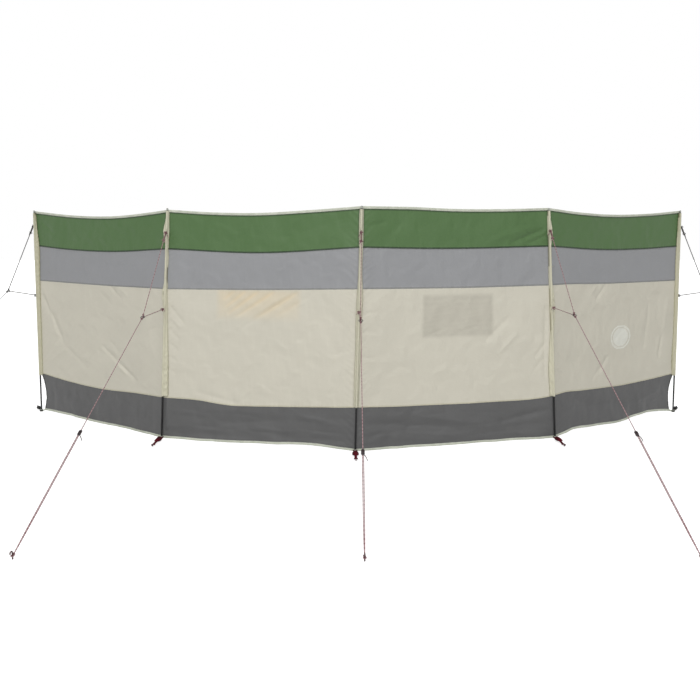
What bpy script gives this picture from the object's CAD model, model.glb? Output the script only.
"""Beach windbreak: four striped cloth bays on five steel poles, held up by guy lines."""
import math

import bpy
import numpy as np
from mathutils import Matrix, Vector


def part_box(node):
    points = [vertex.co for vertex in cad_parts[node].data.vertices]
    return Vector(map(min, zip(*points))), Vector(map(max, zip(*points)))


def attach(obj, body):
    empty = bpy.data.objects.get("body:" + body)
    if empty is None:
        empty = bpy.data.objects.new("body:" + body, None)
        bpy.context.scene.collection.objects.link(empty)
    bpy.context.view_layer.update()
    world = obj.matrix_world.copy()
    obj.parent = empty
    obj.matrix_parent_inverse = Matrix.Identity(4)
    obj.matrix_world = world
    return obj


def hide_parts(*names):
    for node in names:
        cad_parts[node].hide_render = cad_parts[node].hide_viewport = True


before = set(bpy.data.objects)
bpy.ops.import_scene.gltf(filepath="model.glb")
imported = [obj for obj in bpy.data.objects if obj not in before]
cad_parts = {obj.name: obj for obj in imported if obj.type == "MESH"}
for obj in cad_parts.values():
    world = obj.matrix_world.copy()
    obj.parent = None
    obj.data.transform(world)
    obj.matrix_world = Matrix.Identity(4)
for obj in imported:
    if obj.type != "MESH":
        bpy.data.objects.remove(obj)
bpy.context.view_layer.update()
scene = bpy.context.scene

# ---------------------------------------------------------------- Camera
# A person stands in front of the middle pole, holds the camera at eye height,
# tips it down a little and takes in the whole wall.
eye_tilt = 8.51
eye = bpy.data.cameras.new("eye")
eye.sensor_width = 36.0
eye.lens = 41.1
eye_object = bpy.data.objects.new("eye", eye)
eye_object.location = (-0.030, -4.476, 1.265)
eye_object.rotation_euler = (math.radians(90 - eye_tilt), 0.0, 0.0)
scene.collection.objects.link(eye_object)
scene.camera = eye_object

# ---------------------------------------------------------------- Poles
# Five steel tubes with a black powder coat. Each is four sections that push
# into one another, with a crimp under every joint and a pale plug in the tip.
pole_count = 5
pole_radius = 0.0055
pole_joints = (0.25, 0.5, 0.75)
pole_facets = 24
joint_gap = 0.0006
joint_groove = 0.0006
crimp_drop, crimp_half, crimp_depth = 0.03, 0.004, 0.0004
plug_height = 0.015
# The plug's height over its seat and radius, from inside the tube to its domed tip
plug_shape = np.array([(-0.006, 0.0046), (0.0001, 0.0046), (0.0001, 0.0054), (0.0008, 0.0055),
                       (0.0115, 0.0055), (0.0130, 0.0050), (0.0142, 0.0036), (plug_height, 0.0012)])


def corners(node):
    """All the points of a CAD node's mesh."""
    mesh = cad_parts[node].data
    spots = np.empty(len(mesh.vertices) * 3, np.float32)
    mesh.vertices.foreach_get("co", spots)
    return spots.reshape(-1, 3).astype(float)


def round_ends(node):
    """Middles of a straight bar's bottom and top rims: half of the lowest plus the highest
    corner of the points in the bar's lower half, and of those in its upper half."""
    spots = corners(node)
    upper = spots[:, 2] > spots[:, 2].mean()
    return [(half.min(0) + half.max(0)) / 2 for half in (spots[~upper], spots[upper])]


pole_ends = [round_ends(f"pole_{k + 1}") for k in range(pole_count)]


def pole_axis(k, height):
    """Points on pole k's middle line at these heights: its bottom plus its lean times the
    height above the bottom."""
    bottom, tip = pole_ends[k]
    share = (np.asarray(height, float) - bottom[2]) / (tip[2] - bottom[2])
    return bottom + (tip - bottom) * share[..., None]


def make_piece(name, patches, material, closed=False, capped=False):
    """A piece from one or more patches. A patch is rows and columns of points with a quad
    between every four neighbours, the flat place of each point in metres (or None), and named
    values kept on the points. closed joins the last column to the first, and capped fills
    the first and the last row."""
    faces, spots, first = [], [], 0
    for points, place, _ in patches:
        rows, columns = points.shape[:2]
        row = first + np.arange(rows - 1)[:, None] * columns
        column = np.arange(columns if closed else columns - 1)[None, :]
        beside = (column + 1) % columns
        quads = np.stack([row + column, row + beside, row + columns + beside, row + columns + column], -1)
        faces += quads.reshape(-1, 4).tolist()
        ends = [first + np.arange(columns)[::-1], first + np.arange((rows - 1) * columns, rows * columns)]
        faces += [end.tolist() for end in ends] if capped else []
        if place is not None:
            quad_spots = place.reshape(-1, 2)[quads - first]
            if closed:
                quad_spots[:, -1, 1:3, 0] += place[0, 1, 0] * columns
            spots.append(quad_spots.reshape(-1, 2))
            spots += [place.reshape(-1, 2)[end - first] for end in ends] if capped else []
        first += rows * columns
    mesh = bpy.data.meshes.new(name)
    mesh.from_pydata(np.concatenate([patch[0].reshape(-1, 3) for patch in patches]), [], faces)
    if spots:
        flat = np.concatenate(spots).astype(np.float32)
        mesh.uv_layers.new(name="cut").data.foreach_set("uv", flat.ravel())
    for mark in patches[0][2] or {}:
        spread = [np.broadcast_to(marks[mark], points.shape[:2]).ravel() for points, _, marks in patches]
        layer = mesh.attributes.new(mark, "FLOAT", "POINT")
        layer.data.foreach_set("value", np.concatenate(spread).astype(np.float32))
    mesh.polygons.foreach_set("use_smooth", np.ones(len(mesh.polygons), bool))
    mesh.materials.append(material)
    mesh.update()
    piece = bpy.data.objects.new(name, mesh)
    scene.collection.objects.link(piece)
    return piece


def fit(piece, node):
    """The piece stands still, takes a CAD node's place and shows in that node's material slot."""
    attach(piece, "root")
    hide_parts(node)


def tube(path, radius, facets, side=(0.9, 0.3, 0.2)):
    """Rings of points round a path. A ring's point is the path's point plus the radius times
    (cos a across + sin a rise), where across is the side vector less its part along the path."""
    ahead = np.gradient(path, axis=0)
    ahead /= np.linalg.norm(ahead, axis=1, keepdims=True)
    across = np.asarray(side) - ahead * (ahead @ np.asarray(side))[:, None]
    across /= np.linalg.norm(across, axis=1, keepdims=True)
    rise = np.cross(ahead, across)
    angle = np.linspace(0, 2 * np.pi, facets, endpoint=False)
    reach = np.reshape(radius, (len(path), -1)) if np.ndim(radius) else np.full((len(path), 1), radius)
    return path[:, None] + reach[..., None] * (
        np.cos(angle)[..., None] * across[:, None] + np.sin(angle)[..., None] * rise[:, None])


def paint(red, green, blue):
    """A colour given in display values of 0 to 255, as the linear light a shader takes."""
    part = np.array([red, green, blue]) / 255
    light = np.where(part > 0.04045, ((part + 0.055) / 1.055) ** 2.4, part / 12.92)
    return (*light.tolist(), 1.0)


def add(tree, kind, inputs=None, **settings):
    """A shader node of this kind, with its settings. Each input takes a plain value, or is
    joined to another node's output."""
    made = tree.nodes.new("ShaderNode" + kind)
    for name, value in settings.items():
        setattr(made, name, value)
    for socket, value in (inputs or {}).items():
        if isinstance(value, bpy.types.NodeSocket):
            tree.links.new(value, made.inputs[socket])
        else:
            made.inputs[socket].default_value = value
    return made


def calc(tree, operation, *values):
    """The outcome of one arithmetic step."""
    return add(tree, "Math", dict(enumerate(values)), operation=operation).outputs[0]


def ramp(tree, value, low, high, out_low=0.0, out_high=1.0):
    """A value spread from one range to another, smoothly and held at both ends."""
    return add(tree, "MapRange", {0: value, 1: low, 2: high, 3: out_low, 4: out_high},
               interpolation_type="SMOOTHSTEP").outputs[0]


def blended(tree, share, first, second):
    """Two colours mixed by a share."""
    return add(tree, "Mix", {0: share, 6: first, 7: second}, data_type="RGBA").outputs[2]


def group(name, inputs, outputs):
    """An empty shader group with these inputs and outputs, given as (name, kind, value)."""
    tree = bpy.data.node_groups.new(name, "ShaderNodeTree")
    for socket, kind, value in inputs:
        made = tree.interface.new_socket(socket, in_out="INPUT", socket_type="NodeSocket" + kind)
        if value is not None:
            made.default_value = value
    for socket, kind in outputs:
        tree.interface.new_socket(socket, in_out="OUTPUT", socket_type="NodeSocket" + kind)
    return tree, tree.nodes.new("NodeGroupInput").outputs, tree.nodes.new("NodeGroupOutput").inputs


def use(tree, shared, inputs):
    """A shared shader group placed in a material, with its own values."""
    return add(tree, "Group", inputs, node_tree=shared).outputs


def finish(name):
    """A new material, with its node tree and its surface shader."""
    material = bpy.data.materials.new(name)
    material.use_nodes = True
    return material, material.node_tree, material.node_tree.nodes["Principled BSDF"]


def coloured(tree, shader, colour, roughness):
    """Gives the shader a colour and a roughness that change over the surface."""
    tree.links.new(colour, shader.inputs["Base Color"])
    tree.links.new(roughness, shader.inputs["Roughness"])


def kept_mark(tree, mark):
    """A named value that is kept on a piece's points."""
    return add(tree, "Attribute", attribute_name=mark).outputs["Fac"]


def uneven_group():
    """Shared effect: slow drift of tone and fine grain, from noise in the object's own metres."""
    tree, given, out = group("uneven", [("Size", "Float", 0.05), ("Grain", "Float", 0.002)],
                             [("Drift", "Float"), ("Fine", "Float")])
    place = add(tree, "TexCoord").outputs["Object"]
    for size, result in (("Size", "Drift"), ("Grain", "Fine")):
        noise = add(tree, "TexNoise", {"Vector": place, "Scale": calc(tree, "DIVIDE", 1.0, given[size]),
                                       "Detail": 3.0})
        tree.links.new(noise.outputs["Fac"], out[result])
    return tree


uneven = uneven_group()


def bumped(tree, shader, height, distance):
    """Surface relief of this height, in metres, on the shader's normal."""
    made = add(tree, "Bump", {"Height": height, "Distance": distance, "Strength": 1.0})
    tree.links.new(made.outputs["Normal"], shader.inputs["Normal"])


def coated_steel():
    """Black powder coat with a fine orange-peel skin, scuffed to grey near joints and feet."""
    material, tree, shader = finish("black_powder_coat")
    rough = use(tree, uneven, {"Size": 0.03, "Grain": 0.0012})
    worn = ramp(tree, calc(tree, "ADD", kept_mark(tree, "scuffed"), rough["Drift"]), 1.0, 1.2)
    shader.inputs["Specular IOR Level"].default_value = 0.3
    coloured(tree, shader, blended(tree, worn, paint(17, 17, 18), paint(70, 70, 72)),
             ramp(tree, rough["Fine"], 0.3, 0.7, 0.38, 0.52))
    tree.links.new(calc(tree, "MULTIPLY", worn, 0.7), shader.inputs["Metallic"])
    bumped(tree, shader, rough["Fine"], 0.00015)
    return material


def moulded_plastic(name, colour, roughness):
    """Moulded plastic: an even colour with faint flow marks and a slightly pitted skin."""
    material, tree, shader = finish(name)
    marks = use(tree, uneven, {"Size": 0.012, "Grain": 0.0006})
    dull = tuple(np.array(colour) * 0.8)
    coloured(tree, shader, blended(tree, ramp(tree, marks["Drift"], 0.35, 0.75, 0.0, 0.8), colour, dull),
             ramp(tree, marks["Fine"], 0.3, 0.7, roughness - 0.06, roughness + 0.1))
    bumped(tree, shader, marks["Fine"], 0.00008)
    return material


pole_coat = coated_steel()
plug_plastic = moulded_plastic("pale_grey_plug_plastic", paint(158, 160, 152), 0.5)
for k in range(pole_count):
    bottom, tip = pole_ends[k]
    length = np.linalg.norm(tip - bottom)
    stations = [(0.0, 0.0045), (0.0008, pole_radius)]
    for joint in pole_joints:
        at = joint * length
        crimp = at - crimp_drop
        stations += [(crimp - crimp_half, pole_radius), (crimp, pole_radius - crimp_depth),
                     (crimp + crimp_half, pole_radius), (at - joint_gap, pole_radius),
                     (at - joint_gap / 2, pole_radius - joint_groove),
                     (at + joint_gap / 2, pole_radius - joint_groove), (at + joint_gap, pole_radius)]
    stations += [(length - plug_height - 0.0004, pole_radius), (length - plug_height, pole_radius - 0.0004)]
    along, radius = np.array(stations).T
    path = bottom + np.outer(along / length, tip - bottom)
    near_joint = np.abs(along[:, None] - np.array(pole_joints) * length).min(1)
    scuffs = np.maximum(np.exp(-near_joint / 0.01) * 0.6, np.exp(-along / 0.05) * 0.45)
    patch = (tube(path, radius, pole_facets), None, {"scuffed": scuffs[:, None]})
    fit(make_piece(f"pole_tube_{k + 1}", [patch], pole_coat, True, True), f"pole_{k + 1}")
    up = (length - plug_height + plug_shape[:, 0]) / length
    patch = (tube(bottom + np.outer(up, tip - bottom), plug_shape[:, 1], pole_facets), None, None)
    fit(make_piece(f"pole_plug_{k + 1}", [patch], plug_plastic, True, True), f"pole_{k + 1}")

# ---------------------------------------------------------------- Foot cups
# Moulded cups of pale plastic that spread each pole's load on the sand. The
# pole's end drops in, and a collar round the rim carries the hem and the strap.
cup_radius = 0.010
cup_height = 0.016
cup_wall = 0.0022
cup_groove = 0.0012
cup_facets = 40
# Radius and height, from the middle of the base up the grooved outside, over the rim and down inside
cup_profile = [(0.0002, 0.0), (cup_radius - 0.001, 0.0), (cup_radius, 0.001), (cup_radius, 0.0035),
               (cup_radius - cup_groove, 0.0042), (cup_radius - cup_groove, 0.0118), (cup_radius, 0.0126),
               (cup_radius, cup_height - 0.0008), (cup_radius - 0.0008, cup_height),
               (cup_radius - cup_wall + 0.0006, cup_height), (cup_radius - cup_wall, cup_height - 0.0008),
               (cup_radius - cup_wall, 0.0032), (0.0002, 0.0032)]
cup_plastic = moulded_plastic("pale_moulded_plastic", paint(176, 178, 168), 0.45)


def cup_shape(profile):
    """The profile turned about the middle, with ten ribs in the groove: there the radius is 3 %
    less wherever the cosine of ten times the angle is over 0."""
    radius, height = np.array(profile).T
    angle = np.linspace(0, 2 * np.pi, cup_facets, endpoint=False)
    ribs = 1 - 0.03 * (np.cos(10 * angle) > 0) * ((height > 0.004) & (height < 0.012))[:, None]
    ring = np.stack([np.cos(angle), np.sin(angle)], -1)
    return np.concatenate([(radius[:, None] * ribs)[..., None] * ring,
                           np.broadcast_to(height[:, None, None], (len(height), cup_facets, 1))], -1)


feet = [pole_axis(k, np.array(0.0)) for k in range(pole_count)]
for k in range(pole_count):
    cup = make_piece(f"foot_cup_{k + 1}", [(cup_shape(cup_profile) + feet[k] * [1, 1, 0], None, None)],
                     cup_plastic, True, True)
    fit(cup, "foot_cups")

# ---------------------------------------------------------------- Green bands
# The top strip of every bay: green polyester, cut straight. Its lower edge is
# folded under and lapped over the next strip, so that seam reads as a dark line.
bay_count = pole_count - 1
cloth_behind, cloth_behind_top = 0.0105, 0.0085
cloth_thickness = 0.0008
column_step = 0.0075
row_step = 0.008
hem_rows = np.array([0.0, 0.0015, 0.003, 0.0055, 0.008, 0.0095, 0.012])
lap = 0.009
tuck = 0.006
# The cloth runs on this far below a seam's line, and stops this far inside a tape
seam_below, tape_cover = 0.003, 0.002
bay_belly = (0.014, 0.010, 0.010, 0.014)

# Heights of the edges and seams at the poles, from the CAD pieces
edge_heights = {"top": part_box("top_tape")[1].z, "green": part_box("grey_band_1")[1].z,
                "grey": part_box("cream_wall_1")[1].z, "skirt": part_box("skirt_1")[1].z, "hem": 0.0}

# Swells over the whole bay: depth, size and start of each. Then those of the looser cloth under
# the skirt's seam, with the shares of x and of height that they follow.
sways = ((0.0050, 0.95, 1.0), (0.0024, 0.26, 5.0), (0.0006, 0.08, 9.0))
hem_sways = ((0.0075, 1.0, 0.4, 0.42, 2.0), (0.0040, 0.15, 1.0, 0.10, 7.0))
# Puckers beside the sleeves and along the seams: depth, pitch and reach
sleeve_pucker = (0.0020, 0.036, 0.035)
seam_pucker = (0.0008, 0.027, 0.018)

# How far each edge lies over or under that height, at shares of each bay's length
edge_lines = {
    "top": [[(0, 0), (0.34, -0.034), (0.61, -0.041), (0.87, -0.022), (1, -0.007)],
            [(0, -0.007), (0.25, -0.025), (0.48, -0.030), (0.75, -0.016), (1, 0.003)],
            [(0, 0.003), (0.25, 0.001), (0.5, -0.008), (0.75, -0.006), (1, 0.003)],
            [(0, 0.003), (0.2, -0.018), (0.42, -0.030), (0.75, -0.020), (1, 0.002)]],
    "green": [[(0, -0.006), (0.3, -0.029), (0.6, -0.035), (1, -0.012)],
              [(0, -0.012), (0.5, -0.030), (1, 0.005)],
              [(0, 0.005), (0.39, -0.005), (1, 0.004)],
              [(0, 0.004), (0.43, -0.024), (0.75, -0.021), (1, -0.009)]],
    "grey": [[(0, -0.003), (0.5, -0.011), (1, -0.010)],
             [(0, -0.010), (0.5, -0.003), (1, 0.015)],
             [(0, 0.015), (0.5, 0.009), (1, 0.013)],
             [(0, 0.013), (0.12, 0.013), (0.35, 0.005), (0.6, 0.001), (1, -0.001)]],
    "skirt": [[(0, 0.012), (0.25, -0.013), (0.51, -0.027), (0.79, -0.015), (1, -0.009)],
              [(0, -0.009), (0.2, -0.015), (0.32, -0.031), (0.375, -0.036), (0.45, -0.033), (1, -0.001)],
              [(0, -0.001), (0.2, -0.010), (0.4, -0.013), (0.68, -0.015), (0.95, -0.007), (1, 0.002)],
              [(0, 0.002), (0.09, 0.011), (0.2, 0.004), (0.39, -0.005), (0.55, -0.011),
               (0.75, -0.004), (1, 0.012)]],
    "hem": [[(0, 0.010), (0.07, 0.014), (0.24, 0.016), (0.43, 0.005), (0.71, 0.006), (0.9, 0.005),
             (1, 0.001)],
            [(0, 0.001), (0.08, 0.001), (0.33, 0.002), (0.62, 0.013), (0.79, 0.019), (1, 0.001)],
            [(0, 0.001), (0.3, 0.001), (0.63, 0.003), (0.92, 0.001), (1, 0.001)],
            [(0, 0.001), (0.14, 0.028), (0.3, 0.022), (0.5, 0.011), (0.79, 0.032), (0.93, 0.016),
             (1, 0.006)]]}

# Folds in each bay: from (x, height) to (x, height) in metres, with how deep and how wide
# the fold is. A fold with a negative depth stands out on the windward side.
bay_folds = [
    [(0.73, 0.92, 0.85, 0.83, 0.0049, 0.0108), (0.8, 0.925, 0.91, 0.85, -0.0035, 0.0095),
     (0.63, 0.88, 0.75, 0.79, 0.0029, 0.0121), (0.645, 0.52, 1.005, 0.32, 0.0078, 0.0121),
     (0.765, 0.44, 0.905, 0.35, -0.0059, 0.0108), (0.725, 0.56, 0.865, 0.46, 0.0032, 0.0121),
     (0.03, 0.84, 0.26, 0.49, 0.0084, 0.0189), (0.05, 0.88, 0.15, 0.62, -0.0049, 0.0121),
     (0.24, 0.50, 0.52, 0.35, 0.0045, 0.0175), (0.05, 0.40, 0.36, 0.68, 0.0039, 0.0203),
     (0.10, 0.36, 0.30, 0.49, -0.0035, 0.0135), (1.10, 0.74, 1.24, 0.82, 0.0035, 0.0108),
     (1.06, 0.64, 1.23, 0.69, 0.0029, 0.0108), (0.06, 1.33, 0.20, 1.24, 0.0039, 0.0135),
     (0.30, 0.16, 0.62, 0.10, 0.0074, 0.0270), (0.80, 0.20, 1.10, 0.13, -0.0062, 0.0216)],
    [(0.378, 0.86, 0.458, 0.918, 0.0034, 0.0095), (0.388, 0.81, 0.528, 0.918, 0.0046, 0.0095),
     (0.408, 0.775, 0.608, 0.916, 0.0055, 0.0095), (0.458, 0.755, 0.708, 0.916, 0.0055, 0.0095),
     (0.498, 0.70, 0.858, 0.915, 0.0085, 0.0108), (0.468, 0.69, 0.658, 0.79, -0.0034, 0.0108),
     (0.718, 0.77, 0.938, 0.90, 0.0034, 0.0162), (0.02, 0.82, 0.14, 0.70, 0.0042, 0.0095),
     (0.02, 0.76, 0.11, 0.68, -0.0034, 0.0095), (0.02, 0.68, 0.10, 0.61, 0.0034, 0.0095),
     (0.02, 0.60, 0.09, 0.54, 0.0030, 0.0095), (0.02, 0.52, 0.09, 0.47, 0.0030, 0.0095),
     (0.02, 0.44, 0.08, 0.40, 0.0025, 0.0095), (1.08, 0.56, 1.21, 0.60, 0.0021, 0.0121),
     (0.20, 0.30, 0.50, 0.24, 0.0042, 0.0162), (0.026, 0.27, 0.030, 0.05, -0.0140, 0.0085),
     (0.75, 1.22, 1.15, 1.34, 0.0025, 0.0270), (0.30, 0.10, 0.80, 0.16, 0.0064, 0.0297),
     (0.85, 0.20, 1.18, 0.14, -0.0054, 0.0243)],
    [(0.98, 1.185, 1.25, 1.275, 0.0088, 0.0121), (1.10, 1.18, 1.26, 1.235, 0.0070, 0.0095),
     (0.84, 1.20, 1.20, 1.30, -0.0039, 0.0162), (0.03, 1.29, 0.16, 1.31, 0.0039, 0.0108),
     (0.02, 0.80, 0.13, 0.81, 0.0029, 0.0095), (0.02, 0.70, 0.12, 0.69, 0.0029, 0.0095),
     (0.02, 0.55, 0.11, 0.54, 0.0029, 0.0095), (0.42, 0.66, 0.56, 0.70, 0.0029, 0.0095),
     (0.62, 0.67, 0.78, 0.71, 0.0029, 0.0108), (0.80, 0.60, 1.00, 0.77, 0.0064, 0.0216),
     (0.90, 0.53, 1.04, 0.66, -0.0045, 0.0162), (1.235, 0.82, 1.22, 0.36, 0.0070, 0.0135),
     (1.15, 0.50, 1.24, 0.60, 0.0039, 0.0121), (1.14, 0.42, 1.22, 0.50, 0.0039, 0.0121),
     (0.05, 0.16, 0.60, 0.11, 0.0074, 0.0270), (0.35, 0.19, 0.80, 0.12, -0.0062, 0.0243),
     (0.90, 0.12, 1.24, 0.18, 0.0062, 0.0189)],
    [(0.42, 0.82, 0.52, 0.92, 0.0062, 0.0135), (0.37, 0.86, 0.44, 0.92, -0.0036, 0.0108),
     (0.44, 0.35, 0.55, 0.46, 0.0062, 0.0135), (0.38, 0.32, 0.47, 0.40, 0.0036, 0.0121),
     (0.97, 0.80, 0.92, 0.48, 0.0062, 0.0189), (1.07, 0.40, 1.12, 0.58, 0.0066, 0.0135),
     (1.16, 0.82, 1.10, 0.50, -0.0040, 0.0189), (0.02, 0.56, 0.09, 0.50, 0.0036, 0.0095),
     (0.02, 0.42, 0.10, 0.38, 0.0036, 0.0095), (0.60, 0.55, 0.74, 0.66, 0.0030, 0.0162),
     (0.20, 0.18, 0.70, 0.12, 0.0077, 0.0270), (0.70, 0.10, 1.10, 0.18, -0.0065, 0.0216)]]


# Each pole's sleeve: height, then how far its strip reaches to each side of the pole, in metres
sleeve_edges = [
    [(0.27, 0.0072, 0.014), (0.40, 0.0072, 0.016), (0.55, 0.0072, 0.018), (0.70, 0.0072, 0.018),
     (0.80, 0.0075, 0.018), (0.91, 0.0080, 0.022), (1.03, 0.0074, 0.026), (1.15, 0.0074, 0.030),
     (1.27, 0.0090, 0.012), (1.34, 0.0076, 0.008), (1.39, 0.0080, 0.0074)],
    [(0.27, 0.0074, 0.032), (0.44, 0.0076, 0.027), (0.55, 0.0110, 0.023), (0.65, 0.0160, 0.018),
     (0.80, 0.0240, 0.012), (0.90, 0.0340, 0.008), (0.95, 0.0230, 0.0076), (1.04, 0.0185, 0.0074),
     (1.07, 0.0095, 0.0090), (1.17, 0.0130, 0.0076), (1.26, 0.0380, 0.009), (1.33, 0.0200, 0.008),
     (1.39, 0.0085, 0.008)],
    [(0.27, 0.0160, 0.012), (0.48, 0.0175, 0.014), (0.60, 0.0150, 0.019), (0.74, 0.0170, 0.015),
     (0.88, 0.0150, 0.023), (0.95, 0.0110, 0.019), (1.04, 0.0090, 0.013), (1.17, 0.0090, 0.015),
     (1.27, 0.0120, 0.014), (1.39, 0.0115, 0.011)],
    [(0.27, 0.0210, 0.009), (0.43, 0.0250, 0.009), (0.54, 0.0170, 0.012), (0.64, 0.0085, 0.021),
     (0.80, 0.0076, 0.039), (0.90, 0.0074, 0.030), (0.97, 0.0080, 0.019), (1.04, 0.0076, 0.013),
     (1.16, 0.0074, 0.019), (1.27, 0.0076, 0.031), (1.34, 0.0076, 0.017), (1.39, 0.0074, 0.010)],
    [(0.27, 0.012, 0.0072), (0.40, 0.022, 0.0072), (0.50, 0.015, 0.0072), (0.70, 0.011, 0.0072),
     (0.79, 0.013, 0.0078), (0.92, 0.014, 0.0084), (1.03, 0.017, 0.0074), (1.15, 0.014, 0.0074),
     (1.27, 0.0080, 0.0100), (1.34, 0.0076, 0.0076), (1.39, 0.0074, 0.0080)]]


def hump(share):
    """A rise and fall of 1 over a length: 4 share (1 - share)."""
    return 4 * share * (1 - share)


def unit(vector):
    """The vector over its length."""
    return vector / np.linalg.norm(vector)


bay_lengths = [float(np.linalg.norm((feet[b + 1] - feet[b])[:2])) for b in range(bay_count)]
bay_ahead = [unit((feet[b + 1] - feet[b]) * [1, 1, 0]) for b in range(bay_count)]
bay_inward = [np.array([-ahead[1], ahead[0], 0.0]) for ahead in bay_ahead]
mitres = [unit(bay_inward[max(k - 1, 0)] + bay_inward[min(k, bay_count - 1)]) for k in range(pole_count)]
mitre_lengths = [1 / (mitres[k] @ bay_inward[min(k, bay_count - 1)]) for k in range(pole_count)]


def smooth_line(knots, at):
    """Heights on a smooth line through the knots. On each stretch it is the cubic whose slopes
    at both ends are those between the neighbouring knots."""
    x, y = np.array(knots, float).T
    slope = np.gradient(y, x)
    k = np.clip(np.searchsorted(x, at, side="right") - 1, 0, len(x) - 2)
    width = x[k + 1] - x[k]
    t = (at - x[k]) / width
    return ((2 * t ** 3 - 3 * t ** 2 + 1) * y[k] + (3 * t ** 2 - 2 * t ** 3) * y[k + 1]
            + width * ((t ** 3 - 2 * t ** 2 + t) * slope[k] + (t ** 3 - t ** 2) * slope[k + 1]))


def edge(name, bay, share):
    """Height of an edge or seam of a bay."""
    return edge_heights[name] + smooth_line(edge_lines[name][bay], share)


def rumple(x, y, size, start):
    """Uneven swell between about -1 and 1: four sine waves, each turned by 2.4 radians from the
    last, finer than it, and bent by it."""
    total, last = 0.0, 0.0
    for k in range(4):
        turn = start + 2.4 * k
        wave = (x * math.cos(turn) + y * math.sin(turn)) * 2 * np.pi * (1 + 0.4 * k) / size
        last = np.sin(wave + 3 * start + 1.5 * last)
        total = total + last / (1 + 0.5 * k)
    return total / 2.2


def fold_depth(x, height, lines):
    """Depth of a bay's folds: each is depth times exp(-(distance from its line / width) ^ 1.5), and
    fades as the square root of a hump towards both of its ends."""
    x1, y1, x2, y2, depth, width = np.array(lines).T
    dx, dy = x2 - x1, y2 - y1
    px, py = x[..., None] - x1, height[..., None] - y1
    share = np.clip((px * dx + py * dy) / (dx ** 2 + dy ** 2), 0, 1)
    away = np.abs(px * dy - py * dx) / np.hypot(dx, dy)
    return (depth * np.exp(-(away / width) ** 1.5) * np.sqrt(hump(share))).sum(-1)


def clear_of(distance, size):
    """0 on a line and 1 well away from it: 1 - exp(-(distance / size) squared)."""
    return 1 - np.exp(-(distance / size) ** 2)


def relief(bay, share, height):
    """How far the cloth lies behind its plain surface: long sways and short rumples that die
    away at the poles, the folds, puckers where it is sewn to the sleeves and along the seams,
    and a looser wave towards the hem."""
    length = bay_lengths[bay]
    x = share * length
    from_pole = np.minimum(np.abs(x), np.abs(length - x))
    free = clear_of(from_pole, 0.07)
    depth = free * sum(deep * rumple(x, height, size, bay + start) for deep, size, start in sways)
    depth += clear_of(from_pole, 0.02) * fold_depth(x, height, bay_folds[bay])
    deep, pitch, reach = sleeve_pucker
    pucker = 1 + np.sin((height - 0.7 * from_pole) * 2 * np.pi / pitch + 2.5 * np.sin(height * 21 + bay))
    depth += deep * pucker * clear_of(from_pole, 0.015) * np.exp(-from_pole / reach)
    deep, pitch, reach = seam_pucker
    wave = np.sin(x * 2 * np.pi / pitch + 3 * np.sin(x * 13 + bay))
    for seam in ("top", "green", "grey", "skirt"):
        away = np.abs(height - edge(seam, bay, share))
        depth += deep * free * np.exp(-away / reach) * wave
    loose = np.clip(1 - height / edge_heights["skirt"], 0, 1)
    return depth + free * loose * sum(deep * rumple(across * x, up * height, size, bay + start)
                                      for deep, across, up, size, start in hem_sways)


def behind_pole(height):
    """How far the plain cloth lies behind a pole's middle line: it closes up towards the top edge,
    as the square of the height over the last 0.2 m."""
    close = np.clip((height - edge_heights["top"] + 0.2) / 0.2, 0, 1) ** 2
    return cloth_behind + (cloth_behind_top - cloth_behind) * close


def cloth(bay, share, height, depth=0.0):
    """Points of a bay's cloth. At each end, the pole's middle line is moved inwards along the
    mitre, past the sleeve, and between them the cloth runs straight, plus a belly of
    4 share (1 - share) times 4 h (1 - h), with h the height over the top edge's, and the relief."""
    share, height = np.broadcast_arrays(np.asarray(share, float), np.asarray(height, float))
    behind = np.asarray(behind_pole(height) + depth + relief(bay, share, height))
    left, right = (pole_axis(k, height) + mitres[k] * (behind * mitre_lengths[k])[..., None]
                   for k in (bay, bay + 1))
    belly = bay_belly[bay] * hump(share) * hump(height / edge_heights["top"])
    share = share[..., None]
    return left * (1 - share) + right * share + bay_inward[bay] * belly[..., None]


def weave_group():
    """Shared effect: plain weave, whose height is sin(x) sin(y) at so many threads a metre, and
    a slub that runs along single threads."""
    tree, given, out = group("weave", [("Place", "Vector", None), ("Threads", "Float", 1500.0)],
                             [("Height", "Float"), ("Slub", "Float")])
    split = add(tree, "SeparateXYZ", {0: given["Place"]}).outputs
    turns = calc(tree, "MULTIPLY", given["Threads"], math.pi)
    waves = [calc(tree, "SINE", calc(tree, "MULTIPLY", split[axis], turns)) for axis in (0, 1)]
    tree.links.new(ramp(tree, calc(tree, "MULTIPLY", *waves), -1.0, 1.0), out["Height"])
    slubs = []
    for stretch in ((9.0, 700.0, 1.0), (700.0, 9.0, 1.0)):
        place = add(tree, "Mapping", {"Vector": given["Place"], "Scale": stretch}).outputs[0]
        slubs.append(add(tree, "TexNoise", {"Vector": place, "Scale": 1.0, "Detail": 2.0}).outputs["Fac"])
    tree.links.new(calc(tree, "MULTIPLY", calc(tree, "ADD", *slubs), 0.5), out["Slub"])
    return tree


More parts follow.
